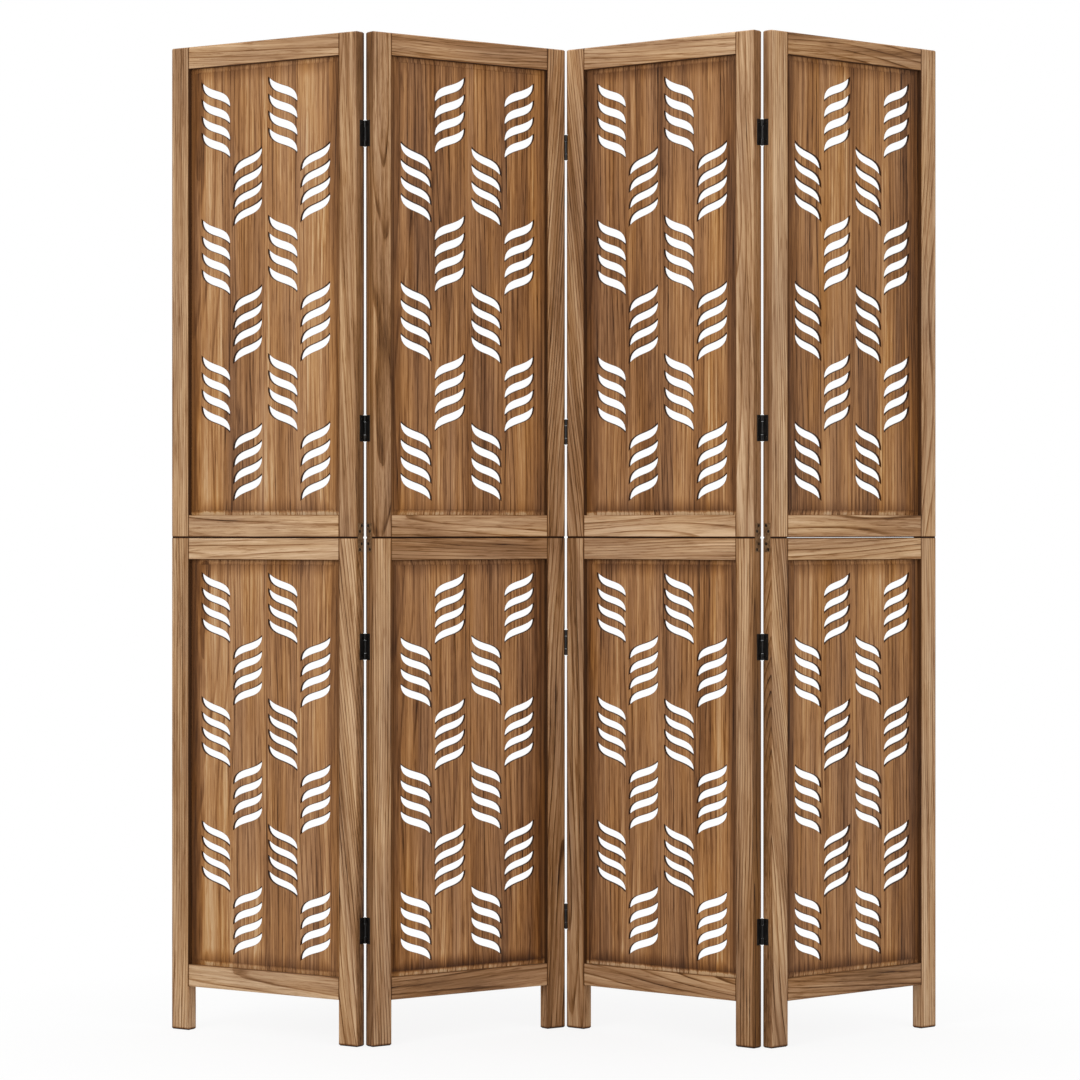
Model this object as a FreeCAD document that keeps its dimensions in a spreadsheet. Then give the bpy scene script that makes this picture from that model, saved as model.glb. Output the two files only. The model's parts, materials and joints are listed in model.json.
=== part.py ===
import FreeCAD, Part
import os
import Sketcher

# Folding screen of four hinged panels, each an upper and a lower framed board
# with rows of leaf-shaped slots. Millimetres and degrees, +Z up, +Y away from
# the front, origin on the floor under the middle of the opened screen.

DRIVING_SIZES = {
    # panel
    "panel_width": 400.0,
    "upper_frame_height": 847.5,
    "lower_frame_height": 776.5,
    "leg_height": 76.0,
    "frame_thickness": 20.0,
    "stile_width": 38.0,
    "rail_height": 38.0,
    "rail_setback": 0.1,
    "edge_easing": 2.0,
    # joinery
    "groove_depth": 7.0,
    "board_play": 0.5,
    "board_fit": 0.1,
    "tenon_length": 24.0,
    "tenon_thickness": 7.0,
    "tenon_shoulder": 7.0,
    "tenon_fit": 0.1,
    "mortise_play": 1.0,
    # raised board
    "tongue_thickness": 3.2,
    "bevel_width": 9.0,
    "bevel_drop": 1.2,
    "field_step": 0.6,
    # leaf slots
    "slot_half_width": 31.4,
    "inner_column": 37.9,
    "outer_column": 107.3,
    "columns_per_lean": 2,
    "groups_per_column": 3,
    "slots_per_group": 4,
    # hinges
    "hinge_height": 44.0,
    "hinge_reach": 14.0,
    "leaf_thickness": 1.0,
    "leaf_recess": 0.55,
    "leaf_fit": 0.1,
    "knuckle_radius": 2.2,
    "knuckle_sides": 8,
    "knuckle_length": 22.0,
    "knuckle_gap": 0.3,
    "axis_gap": 0.6,
    "axis_offset": 1.7,
    "hinge_below_top": 170.0,
    "hinge_from_joint": 183.0,
    "hinge_above_floor": 193.5,
    # joining plates across the two halves of a panel
    "plate_height": 48.0,
    "plate_width": 14.0,
    # opened angles from the long direction of the screen
    "panel_1_angle": 33.5,
    "panel_2_angle": 36.0,
    "panel_3_angle": 39.0,
    "panel_4_angle": 40.5,
    # one overrun past the wood for every open cut
    "overrun": 2.0,
}

# The pattern follows the height of the opening that the board fills.
GROUP_PITCH_SHARE = 0.3056
SLOT_PITCH_SHARE = 0.0375
SLOT_HALF_HEIGHT_SHARE = 0.0311

# Centre of the lowest group in a high and in a low column, from the middle of
# the opening, as a share of the group pitch.
HIGH_COLUMN_SHARE = -0.75
LOW_COLUMN_SHARE = -1.25

# One flank of the slot: its upper tip, the hollow below it and the shoulder
# above the lower tip, as shares of the slot's half width and half height. The
# other flank is the same one turned half round.
FLANK_SHARES = ((-1.0, 1.0), (-0.584, 0.592), (0.812, -0.12))

OPENING_WIDTH = "(Sizes.panel_width - 2 * Sizes.stile_width)"
UPPER_OPENING = "(Sizes.upper_frame_height - 2 * Sizes.rail_height - Sizes.rail_setback)"
LOWER_OPENING = "(Sizes.lower_frame_height - 2 * Sizes.rail_height - Sizes.rail_setback)"
LOWER_HEIGHT = "(Sizes.leg_height + Sizes.lower_frame_height)"
BOARD_RELIEF = "(Sizes.field_step + Sizes.bevel_drop)"
GROOVE_WIDTH = "(Sizes.tongue_thickness + 2 * Sizes.board_fit)"
GROOVE_FRONT = f"((Sizes.frame_thickness - {GROOVE_WIDTH}) / 2)"
TENON_HEIGHT = "(Sizes.rail_height - Sizes.tenon_shoulder - Sizes.groove_depth)"
TENON_FRONT = "((Sizes.frame_thickness - Sizes.tenon_thickness) / 2)"
UPPER_HINGES = ("Sizes.hinge_from_joint", "(Sizes.upper_frame_height - Sizes.hinge_below_top)")
LOWER_HINGES = ("Sizes.hinge_above_floor", f"({LOWER_HEIGHT} - Sizes.hinge_from_joint)")

# Panel number, turn of its front edge, and whether its slots are mirrored.
PANELS = ((1, -1, False), (2, 1, True), (3, -1, False), (4, 1, True))
# Seam number, left and right panel, and the side on which its barrel lies.
SEAMS = ((1, 1, 2, "back"), (2, 2, 3, "front"), (3, 3, 4, "back"))

DOC = FreeCAD.newDocument("FoldingScreen")


def make_sheet():
    sheet = DOC.addObject("Spreadsheet::Sheet", "Sizes")
    for row, (name, value) in enumerate(DRIVING_SIZES.items(), start=1):
        sheet.set(f"A{row}", name)
        sheet.set(f"B{row}", str(value))
        sheet.setAlias(f"B{row}", name)
    DOC.recompute()
    return sheet


SHEET = make_sheet()


def measure(expression):
    """The number that an expression of the sheet's sizes gives."""
    return float(SHEET.evalExpression(expression))


def origin_feature(body, role):
    """An axis or a plane of a body's own origin."""
    matches = [feature for feature in body.Origin.OriginFeatures if feature.Role == role]
    return matches[0]


def make_body(label):
    body = DOC.addObject("PartDesign::Body", label)
    body.Label = label
    return body


def add_sketch(body, name, plane, offset="0 mm"):
    """A sketch on one of the body's origin planes, moved along its normal."""
    sketch = body.newObject("Sketcher::SketchObject", name)
    sketch.AttachmentSupport = [(origin_feature(body, plane), "")]
    sketch.MapMode = "FlatFace"
    sketch.setExpression("AttachmentOffset.Base.z", offset)
    return sketch


def draw_outline(sketch, points):
    """A closed outline of straight lines through points given as expressions.

    Each point is held at its distances from the sketch's origin.
    """
    places = [FreeCAD.Vector(measure(across), measure(up), 0) for across, up in points]
    followers = places[1:] + places[:1]
    first = len(sketch.Geometry)
    count = len(points)
    sketch.addGeometry([Part.LineSegment(start, end) for start, end in zip(places, followers)])
    joints = []
    distances = []
    expressions = []
    for index, (across, up) in enumerate(points):
        line = first + index
        follower = first + (index + 1) % count
        joints.append(Sketcher.Constraint("Coincident", line, 2, follower, 1))
        distances.append(Sketcher.Constraint("DistanceX", -1, 1, line, 1, places[index].x))
        distances.append(Sketcher.Constraint("DistanceY", -1, 1, line, 1, places[index].y))
        expressions += [across, up]
    sketch.addConstraint(joints)
    numbers = sketch.addConstraint(distances)
    for number, expression in zip(numbers, expressions):
        sketch.setExpression(f"Constraints[{number}]", expression)


def draw_rectangle(sketch, left, right, bottom, top):
    draw_outline(sketch, ((left, bottom), (right, bottom), (right, top), (left, top)))


def add_pad(body, sketch, name, length, side="One side", backwards=False):
    pad = body.newObject("PartDesign::Pad", name)
    pad.Profile = sketch
    pad.SideType = side
    pad.Reversed = backwards
    pad.setExpression("Length", length)
    return pad


def add_cut(body, sketch, name, depth, side="One side", backwards=False):
    cut = body.newObject("PartDesign::Pocket", name)
    cut.Profile = sketch
    cut.SideType = side
    cut.Reversed = backwards
    cut.setExpression("Length", depth)
    return cut


def ease_edges(body, feature, name, chosen):
    """Chamfer the edges of a feature for which chosen(middle, direction) holds."""
    DOC.recompute()
    names = []
    for number, edge in enumerate(feature.Shape.Edges, start=1):
        start, end = (vertex.Point for vertex in edge.Vertexes)
        if chosen((start + end) / 2, (end - start).normalize()):
            names.append(f"Edge{number}")
    chamfer = body.newObject("PartDesign::Chamfer", name)
    chamfer.Base = (feature, names)
    chamfer.setExpression("Size", "Sizes.edge_easing")
    return chamfer


def make_stile(label, height, rail_feet, hinge_heights, barrel_side, joint_end):
    """Upright of a frame: outer edge at x = 0, inner edge at x = stile_width.

    rail_feet are the heights of the lower edges of its two rails.
    """
    body = make_body(label)
    section = add_sketch(body, "StileSection", "XY_Plane")
    draw_rectangle(section, "0", "Sizes.stile_width", "0", "Sizes.frame_thickness")
    pad = add_pad(body, section, "StileLength", height)

    inner = measure("Sizes.stile_width")
    foot_is_free = joint_end == "top"

    def is_eased(middle, direction):
        if round(abs(direction.z)):
            return middle.x < inner / 2
        on_inner_edge = round(abs(direction.y)) and middle.x > inner / 2
        return not on_inner_edge or (foot_is_free and middle.z < inner)

    ease_edges(body, pad, "EasedEdges", is_eased)

    low_rail, high_rail = rail_feet
    joinery = add_sketch(body, "Mortises", "YZ_Plane", "Sizes.stile_width")
    mortise_front = f"{TENON_FRONT} - Sizes.tenon_fit"
    mortise_back = f"{TENON_FRONT} + Sizes.tenon_thickness + Sizes.tenon_fit"
    for foot in (f"({low_rail} + Sizes.tenon_shoulder)", f"({high_rail} + Sizes.groove_depth)"):
        bottom = f"{foot} - Sizes.tenon_fit"
        top = f"{foot} + {TENON_HEIGHT} + Sizes.tenon_fit"
        draw_rectangle(joinery, mortise_front, mortise_back, bottom, top)
    add_cut(body, joinery, "MortiseCuts", "Sizes.tenon_length + Sizes.mortise_play")

    groove = add_sketch(body, "Groove", "YZ_Plane", "Sizes.stile_width")
    bottom = f"{low_rail} + Sizes.rail_height - Sizes.groove_depth"
    top = f"{high_rail} + Sizes.groove_depth"
    draw_rectangle(groove, GROOVE_FRONT, f"{GROOVE_FRONT} + {GROOVE_WIDTH}", bottom, top)
    add_cut(body, groove, "GrooveCut", "Sizes.groove_depth")

    gains = add_sketch(body, "Gains", "YZ_Plane")
    draw_plate_gain(gains, height, joint_end)
    for centre in hinge_heights:
        draw_hinge_gain(gains, centre, barrel_side)
    add_cut(body, gains, "GainCuts", "Sizes.leaf_recess", backwards=True)
    return body


def draw_plate_gain(sketch, height, joint_end):
    """Shallow seat for half of a joining plate, open at the joint."""
    front = "(Sizes.frame_thickness - Sizes.plate_width) / 2 - Sizes.leaf_fit"
    back = "(Sizes.frame_thickness + Sizes.plate_width) / 2 + Sizes.leaf_fit"
    reach = "(Sizes.plate_height / 2 + Sizes.leaf_fit)"
    if joint_end == "top":
        draw_rectangle(sketch, front, back, f"{height} - {reach}", f"{height} + Sizes.overrun")
    else:
        draw_rectangle(sketch, front, back, "-Sizes.overrun", reach)


def draw_hinge_gain(sketch, centre, barrel_side):
    """Shallow seat for a hinge leaf, open on the side of the barrel."""
    cover = "(Sizes.hinge_reach - Sizes.axis_offset + Sizes.leaf_fit)"
    half = "(Sizes.hinge_height / 2 + Sizes.leaf_fit)"
    bottom, top = f"{centre} - {half}", f"{centre} + {half}"
    if barrel_side == "back":
        front, back = f"Sizes.frame_thickness - {cover}", "Sizes.frame_thickness + Sizes.overrun"
    else:
        front, back = "-Sizes.overrun", cover
    draw_rectangle(sketch, front, back, bottom, top)


def make_rail(label):
    """Cross piece of a frame: middle at x = 0, grooved edge on top."""
    body = make_body(label)
    section = add_sketch(body, "RailSection", "YZ_Plane")
    draw_rectangle(section, "0", "Sizes.frame_thickness", "0", "Sizes.rail_height")
    pad = add_pad(body, section, "RailLength", OPENING_WIDTH, side="Symmetric")

    def is_eased(middle, direction):
        return round(abs(direction.x)) and middle.z < measure("Sizes.rail_height") / 2

    ease_edges(body, pad, "EasedEdges", is_eased)

    tenon = add_sketch(body, "Tenon", "YZ_Plane")
    back = f"{TENON_FRONT} + Sizes.tenon_thickness"
    top = f"Sizes.tenon_shoulder + {TENON_HEIGHT}"
    draw_rectangle(tenon, TENON_FRONT, back, "Sizes.tenon_shoulder", top)
    length = f"{OPENING_WIDTH} + 2 * Sizes.tenon_length"
    add_pad(body, tenon, "TenonLength", length, side="Symmetric")

    groove = add_sketch(body, "Groove", "YZ_Plane")
    bottom = "Sizes.rail_height - Sizes.groove_depth"
    top = "Sizes.rail_height + Sizes.overrun"
    draw_rectangle(groove, GROOVE_FRONT, f"{GROOVE_FRONT} + {GROOVE_WIDTH}", bottom, top)
    length = f"{OPENING_WIDTH} + 2 * Sizes.overrun"
    add_cut(body, groove, "GrooveCut", length, side="Symmetric")
    return body


def draw_centred_rectangle(sketch, width, height, inset):
    """A rectangle round the sketch's origin, inset from a width and a height."""
    across = f"({width} / 2 - {inset})"
    up = f"({height} / 2 - {inset})"
    draw_rectangle(sketch, f"-{across}", across, f"-{up}", up)


def draw_slot(sketch, opening_height, across, up, mirrored):
    """The leaf-shaped outline of one slot round a point of the board."""
    turn = -1 if mirrored else 1
    half_height = f"{SLOT_HALF_HEIGHT_SHARE} * {opening_height}"
    points = []
    for flank in (1, -1):
        for width_share, height_share in FLANK_SHARES:
            x_share = flank * turn * width_share
            y_share = flank * height_share
            x = f"{across} + {x_share} * Sizes.slot_half_width"
            y = f"{up} + {y_share} * {half_height}"
            points.append((x, y))
    draw_outline(sketch, points)


def add_repeat(body, name, axis, spacing, count):
    repeat = body.newObject("PartDesign::LinearPattern", name)
    repeat.Direction = (origin_feature(body, axis), [""])
    repeat.Mode = "Spacing"
    repeat.setExpression("Offset", spacing)
    repeat.setExpression("Occurrences", count)
    return repeat


def add_slots(body, name, opening_height, first_column, lowest_group_share, mirrored):
    """Slots of one lean: a leaf repeated into groups, columns and column pairs."""
    group_pitch = f"({GROUP_PITCH_SHARE} * {opening_height})"
    slot_pitch = f"({SLOT_PITCH_SHARE} * {opening_height})"
    sketch = add_sketch(body, name + "Leaf", "XZ_Plane")
    lowest_slot = f"(Sizes.slots_per_group - 1) / 2 * {slot_pitch}"
    up = f"({lowest_group_share} * {group_pitch} - {lowest_slot})"
    draw_slot(sketch, opening_height, first_column, up, mirrored)
    depth = f"{BOARD_RELIEF} + Sizes.tongue_thickness + Sizes.overrun"
    cut = add_cut(body, sketch, name + "Cut", depth)
    cut.Refine = False
    DOC.recompute()
    slots = body.newObject("PartDesign::MultiTransform", name)
    slots.Refine = False
    slots.Originals = [cut]
    group = add_repeat(body, name + "Group", "Z_Axis", slot_pitch, "Sizes.slots_per_group")
    column = add_repeat(body, name + "Column", "Z_Axis", group_pitch, "Sizes.groups_per_column")
    spacing = "Sizes.inner_column + Sizes.outer_column"
    pair = add_repeat(body, name + "Pair", "X_Axis", spacing, "Sizes.columns_per_lean")
    slots.Transformations = [group, column, pair]
    body.Tip = slots
    return slots


def make_board(label, opening_height, mirrored):
    """Raised and slotted board: its middle at x = z = 0, face of the field at y = 0."""
    body = make_body(label)
    tongue = add_sketch(body, "Tongue", "XZ_Plane", f"-{BOARD_RELIEF}")
    reach = "(Sizes.board_play - Sizes.groove_depth)"
    draw_centred_rectangle(tongue, OPENING_WIDTH, opening_height, reach)
    add_pad(body, tongue, "TonguePad", "Sizes.tongue_thickness", backwards=True)

    foot = add_sketch(body, "BevelFoot", "XZ_Plane", f"-{BOARD_RELIEF}")
    draw_centred_rectangle(foot, OPENING_WIDTH, opening_height, "0")
    head = add_sketch(body, "BevelHead", "XZ_Plane", "-Sizes.field_step")
    draw_centred_rectangle(head, OPENING_WIDTH, opening_height, "Sizes.bevel_width")
    bevel = body.newObject("PartDesign::AdditiveLoft", "Bevel")
    bevel.Profile = foot
    bevel.Sections = [head]
    bevel.Ruled = True

    field = add_sketch(body, "Field", "XZ_Plane", "-Sizes.field_step")
    draw_centred_rectangle(field, OPENING_WIDTH, opening_height, "Sizes.bevel_width")
    add_pad(body, field, "FieldPad", "Sizes.field_step")

    far_column, near_column = "-Sizes.outer_column", "-Sizes.inner_column"
    high_column = near_column if mirrored else far_column
    low_column = far_column if mirrored else near_column
    add_slots(body, "HighSlots", opening_height, high_column, HIGH_COLUMN_SHARE, mirrored)
    add_slots(body, "LowSlots", opening_height, low_column, LOW_COLUMN_SHARE, not mirrored)
    return body


def knuckle_feet(centre, holds_ends):
    """Feet of the knuckles that a leaf carries at one hinge, and their length."""
    if holds_ends:
        length = "((Sizes.hinge_height - Sizes.knuckle_length - Sizes.knuckle_gap) / 2)"
        low_foot = f"{centre} - Sizes.hinge_height / 2"
        high_foot = f"{centre} + Sizes.hinge_height / 2 - {length}"
        return (low_foot, high_foot), length
    length = "(Sizes.knuckle_length - Sizes.knuckle_gap)"
    return (f"{centre} - {length} / 2",), length


def add_knuckle(body, foot, length):
    """A rolled knuckle round the hinge axis, with a few flats for its round."""
    knuckle = body.newObject("PartDesign::AdditivePrism", "Knuckle")
    knuckle.AttachmentSupport = [(origin_feature(body, "XY_Plane"), "")]
    knuckle.MapMode = "FlatFace"
    knuckle.setExpression("AttachmentOffset.Base.z", foot)
    knuckle.setExpression("Polygon", "Sizes.knuckle_sides")
    knuckle.setExpression("Circumradius", "Sizes.knuckle_radius")
    knuckle.setExpression("Height", length)


def draw_leaf(sketch, centre, depth_sign, holds_ends):
    """Flat outline of one leaf, with fingers that run under its own knuckles."""
    bottom, top = f"{centre} - Sizes.hinge_height / 2", f"{centre} + Sizes.hinge_height / 2"
    relief = f"{depth_sign} * (Sizes.knuckle_radius + Sizes.knuckle_gap)"
    far = f"{depth_sign} * Sizes.hinge_reach"
    middle = "Sizes.knuckle_length / 2"
    step = "Sizes.knuckle_gap / 2" if holds_ends else "-Sizes.knuckle_gap / 2"
    low_step = f"{centre} - {middle} - {step}"
    high_step = f"{centre} + {middle} + {step}"
    ends, middles = ("0", relief) if holds_ends else (relief, "0")
    draw_outline(sketch, (
        (ends, bottom), (far, bottom), (far, top), (ends, top),
        (ends, high_step), (middles, high_step), (middles, low_step), (ends, low_step),
    ))


def make_leaves(label, side, barrel_side, holds_ends):
    """The four leaves that one panel carries at a seam, round the hinge axis."""
    body = make_body(label)
    body.AllowCompound = True
    depth_sign = -1 if barrel_side == "back" else 1
    seat = f"{side} * (Sizes.axis_gap + Sizes.leaf_recess)"
    heights = LOWER_HINGES + tuple(f"({LOWER_HEIGHT} + {height})" for height in UPPER_HINGES)

    plates = add_sketch(body, "Plates", "YZ_Plane", seat)
    for centre in heights:
        draw_leaf(plates, centre, depth_sign, holds_ends)
    add_pad(body, plates, "PlatePad", "Sizes.leaf_thickness", backwards=side > 0)
    for centre in heights:
        feet, length = knuckle_feet(centre, holds_ends)
        for foot in feet:
            add_knuckle(body, foot, length)
    return body


def make_joining_plates(label):
    """Two flat plates let into the outer edges of a panel across its joint."""
    body = make_body(label)
    body.AllowCompound = True
    section = add_sketch(body, "PlateSections", "XY_Plane", f"{LOWER_HEIGHT} - Sizes.plate_height / 2")
    front = "(Sizes.frame_thickness - Sizes.plate_width) / 2"
    back = "(Sizes.frame_thickness + Sizes.plate_width) / 2"
    proud = "(Sizes.leaf_thickness - Sizes.leaf_recess)"
    draw_rectangle(section, f"-{proud}", "Sizes.leaf_recess", front, back)
    right_seat = "Sizes.panel_width - Sizes.leaf_recess"
    draw_rectangle(section, right_seat, f"Sizes.panel_width + {proud}", front, back)
    add_pad(body, section, "PlateLength", "Sizes.plate_height")
    return body


def moved(x, y, z, turn_axis=FreeCAD.Vector(0, 0, 1), turn=0):
    return FreeCAD.Placement(FreeCAD.Vector(x, y, z), FreeCAD.Rotation(turn_axis, turn))


def frame_places(half_foot, rail_feet):
    """Where the pieces of one frame lie in their panel, which stands at x = y = 0."""
    width = measure("Sizes.panel_width")
    thickness = measure("Sizes.frame_thickness")
    low_rail, high_rail = (half_foot + measure(foot) for foot in rail_feet)
    rail_height = measure("Sizes.rail_height")
    field_depth = measure(f"{GROOVE_FRONT} + Sizes.board_fit - {BOARD_RELIEF}")
    board_height = (low_rail + rail_height + high_rail) / 2
    cross_axis = FreeCAD.Vector(1, 0, 0)
    return {
        "left_stile": moved(0, 0, half_foot),
        "right_stile": moved(width, thickness, half_foot, turn=180),
        "bottom_rail": moved(width / 2, 0, low_rail),
        "top_rail": moved(width / 2, thickness, high_rail + rail_height, cross_axis, 180),
        "board": moved(width / 2, field_depth, board_height),
    }


def hinges_on(number, edge, hinge_heights):
    """Heights of the hinges on one edge of a panel and the side of their barrels."""
    for _, left_panel, right_panel, barrel_side in SEAMS:
        if number == (left_panel if edge == "right" else right_panel):
            return hinge_heights, barrel_side
    return (), "back"


def local_barrel_side(edge, barrel_side):
    """The right stile is turned half round, so its front and back change places."""
    if edge == "left":
        return barrel_side
    return "front" if barrel_side == "back" else "back"


def make_frame(number, half, mirrored):
    """The five pieces of one frame, with their places in the panel."""
    upper = half == "upper"
    height = "Sizes.upper_frame_height" if upper else LOWER_HEIGHT
    opening_height = UPPER_OPENING if upper else LOWER_OPENING
    low_rail = "Sizes.rail_setback" if upper else "Sizes.leg_height"
    high_rail = f"({low_rail} + Sizes.rail_height + {opening_height})"
    rail_feet = (low_rail, high_rail)
    places = frame_places(measure(LOWER_HEIGHT) if upper else 0, rail_feet)
    pieces = []
    for edge in ("left", "right"):
        heights, barrel_side = hinges_on(number, edge, UPPER_HINGES if upper else LOWER_HINGES)
        stile = make_stile(f"panel_{number}_{half}_{edge}_stile", height, rail_feet, heights,
                           local_barrel_side(edge, barrel_side), "bottom" if upper else "top")
        pieces.append((stile, places[edge + "_stile"]))
    for rail in ("bottom_rail", "top_rail"):
        pieces.append((make_rail(f"panel_{number}_{half}_{rail}"), places[rail]))
    board = make_board(f"panel_{number}_{half}_board", opening_height, mirrored)
    pieces.append((board, places["board"]))
    return pieces


def axis_in_panel(edge, barrel_side):
    """Foot of a hinge axis in the frame of the panel that carries it."""
    gap = measure("Sizes.axis_gap")
    offset = measure("Sizes.axis_offset")
    across = -gap if edge == "left" else measure("Sizes.panel_width") + gap
    depth = -offset if barrel_side == "front" else measure("Sizes.frame_thickness") + offset
    return FreeCAD.Vector(across, depth, 0)


def panel_placements():
    """Stand each panel at its angle, hinge axis on hinge axis."""
    placements = {}
    foot = FreeCAD.Vector(0, 0, 0)
    for number, direction, _ in PANELS:
        turn = direction * measure(f"Sizes.panel_{number}_angle")
        placement = moved(0, 0, 0, turn=turn)
        for _, left_panel, right_panel, barrel_side in SEAMS:
            if right_panel == number:
                axis = placements[left_panel].multVec(axis_in_panel("right", barrel_side))
                foot = axis - placement.multVec(axis_in_panel("left", barrel_side))
        placement.Base = foot
        placements[number] = placement
    return placements


def make_pieces():
    """Every sub-part of the screen, placed."""
    placements = panel_placements()
    pieces = []
    for number, _, mirrored in PANELS:
        local_pieces = make_frame(number, "upper", mirrored) + make_frame(number, "lower", mirrored)
        plates = make_joining_plates(f"panel_{number}_joining_plates")
        local_pieces.append((plates, moved(0, 0, 0)))
        for body, place in local_pieces:
            body.Placement = placements[number].multiply(place)
            pieces.append(body)
    for seam, left_panel, right_panel, barrel_side in SEAMS:
        for edge, number, side in (("left", left_panel, -1), ("right", right_panel, 1)):
            leaves = make_leaves(f"seam_{seam}_{edge}_leaves", side, barrel_side, edge == "left")
            axis = axis_in_panel("right" if edge == "left" else "left", barrel_side)
            leaves.Placement = placements[number].multiply(moved(axis.x, axis.y, 0))
            pieces.append(leaves)
    return pieces


def centre_on_origin(pieces):
    """Bring the middle of the footprint over the origin; returns the move."""
    box = FreeCAD.BoundBox()
    for body in pieces:
        box.add(body.Shape.BoundBox)
    shift = FreeCAD.Vector(-box.Center.x, -box.Center.y, -box.ZMin)
    for body in pieces:
        body.Placement = FreeCAD.Placement(shift, FreeCAD.Rotation()).multiply(body.Placement)
    return shift


def check_objects(pieces):
    for item in DOC.Objects:
        if "Invalid" in item.State or "Error" in item.State:
            raise RuntimeError(f"{item.Name} did not build: {item.State}")
    for body in pieces:
        if body.Shape.isNull() or not body.Shape.isValid():
            raise RuntimeError(f"{body.Label} has no valid shape")


def write_pieces(pieces):
    os.makedirs("parts", exist_ok=True)
    for body in pieces:
        body.Shape.exportStep(os.path.join("parts", body.Label + ".step"))


def print_axes(shift):
    """Report the hinge axes, from which the motion of the screen is written down."""
    placements = panel_placements()
    for seam, left_panel, _, barrel_side in SEAMS:
        axis = placements[left_panel].multVec(axis_in_panel("right", barrel_side)) + shift
        print(f"seam {seam} axis at x {axis.x:.4f}, y {axis.y:.4f}, barrel at the {barrel_side}")


PIECES = make_pieces()
DOC.recompute()
SHIFT = centre_on_origin(PIECES)
DOC.recompute()
check_objects(PIECES)
write_pieces(PIECES)
print_axes(SHIFT)
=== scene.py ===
import json
import math

import bmesh
import bpy
from mathutils import Matrix, Vector
from mathutils.geometry import interpolate_bezier


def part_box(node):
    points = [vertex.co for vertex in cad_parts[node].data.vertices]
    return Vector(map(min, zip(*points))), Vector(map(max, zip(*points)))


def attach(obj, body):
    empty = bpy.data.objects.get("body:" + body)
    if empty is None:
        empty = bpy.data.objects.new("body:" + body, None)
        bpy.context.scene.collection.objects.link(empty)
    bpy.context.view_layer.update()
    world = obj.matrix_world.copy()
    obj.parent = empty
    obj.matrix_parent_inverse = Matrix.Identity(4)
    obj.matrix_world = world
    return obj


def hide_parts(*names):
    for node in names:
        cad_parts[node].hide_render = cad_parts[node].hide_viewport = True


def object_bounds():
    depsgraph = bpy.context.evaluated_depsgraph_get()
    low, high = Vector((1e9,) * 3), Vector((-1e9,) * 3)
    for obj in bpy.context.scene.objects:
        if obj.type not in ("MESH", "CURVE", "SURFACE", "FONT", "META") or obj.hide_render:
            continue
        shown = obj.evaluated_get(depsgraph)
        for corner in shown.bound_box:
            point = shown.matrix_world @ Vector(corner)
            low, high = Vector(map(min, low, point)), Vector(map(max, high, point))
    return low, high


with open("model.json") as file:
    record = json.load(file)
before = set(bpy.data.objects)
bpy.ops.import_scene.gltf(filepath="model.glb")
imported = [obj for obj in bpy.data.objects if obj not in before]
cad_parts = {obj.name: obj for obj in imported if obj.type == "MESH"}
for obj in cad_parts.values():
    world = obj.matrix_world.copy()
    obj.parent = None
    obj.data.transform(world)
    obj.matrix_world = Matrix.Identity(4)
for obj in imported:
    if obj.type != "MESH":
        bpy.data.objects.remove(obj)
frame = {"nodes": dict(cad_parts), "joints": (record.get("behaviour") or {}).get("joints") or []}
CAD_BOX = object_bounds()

# Folding screen of carbonised light wood: four panels, each of two framed
# boards pierced by leaf-shaped slots. Lengths are written in millimetres and
# turned to metres by MM where Blender needs them.

MM = 0.001

# Panels, as the frame has them.
PANEL_WIDTH = 400.0
STILE_WIDTH = 38.0
RAIL_HEIGHT = 38.0
FRAME_THICKNESS = 20.0
LEG_HEIGHT = 76.0
LOWER_FRAME_HEIGHT = 776.5
UPPER_FRAME_HEIGHT = 847.5
RAIL_SETBACK = 0.1
SEAM_HEIGHT = LEG_HEIGHT + LOWER_FRAME_HEIGHT
OPENING_WIDTH = PANEL_WIDTH - 2 * STILE_WIDTH
UPPER_OPENING = UPPER_FRAME_HEIGHT - 2 * RAIL_HEIGHT - RAIL_SETBACK
LOWER_OPENING = LOWER_FRAME_HEIGHT - 2 * RAIL_HEIGHT - RAIL_SETBACK
UPPER_MIDDLE = SEAM_HEIGHT + RAIL_SETBACK + RAIL_HEIGHT + UPPER_OPENING / 2
LOWER_MIDDLE = LEG_HEIGHT + RAIL_HEIGHT + LOWER_OPENING / 2

# Hinges: the axis lies beside the edge and beyond the face with the barrel.
AXIS_GAP = 0.6
AXIS_OFFSET = 1.7
BACK_AXIS_DEPTH = FRAME_THICKNESS + AXIS_OFFSET
FRONT_AXIS_DEPTH = -AXIS_OFFSET

# How far each panel's rails stand off from the joint of its halves: light
# shows between those of the last panel only.
RAIL_STAND_OFFS = {1: 0.0, 2: 0.0, 3: 0.0, 4: 0.4}

# Chamfers of the stiles' edges in the solids, and of their long edges as seen.
# A point is on a chamfer within a little more or less than its width.
END_EASING = 2.0
LONG_EASING = 0.4
A_LITTLE_MORE = 1.05
A_LITTLE_LESS = 0.95

# Rounding of the edges of wood and of metal, and the angles in degrees from
# which an edge is rounded and from which it is drawn sharp.
WOOD_ROUNDNESS = 0.2
METAL_ROUNDNESS = 0.3
ROUND_SEGMENTS = 2
ROUNDED_ANGLE = 30
SHARP_ANGLE = 25
# Points nearer than this are one point.
WELD_DISTANCE = 0.01

# Heights of the hinges' middles, the room above and below them in which the
# stiles keep the solids' chamfers, and how soon these run out beyond it.
HINGE_HEIGHTS = (193.5, SEAM_HEIGHT - 183.0, SEAM_HEIGHT + 183.0, SEAM_HEIGHT + UPPER_FRAME_HEIGHT - 170.0)
KNUCKLE_ROOM = 22.5
CHAMFER_RUN = 1.0

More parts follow.
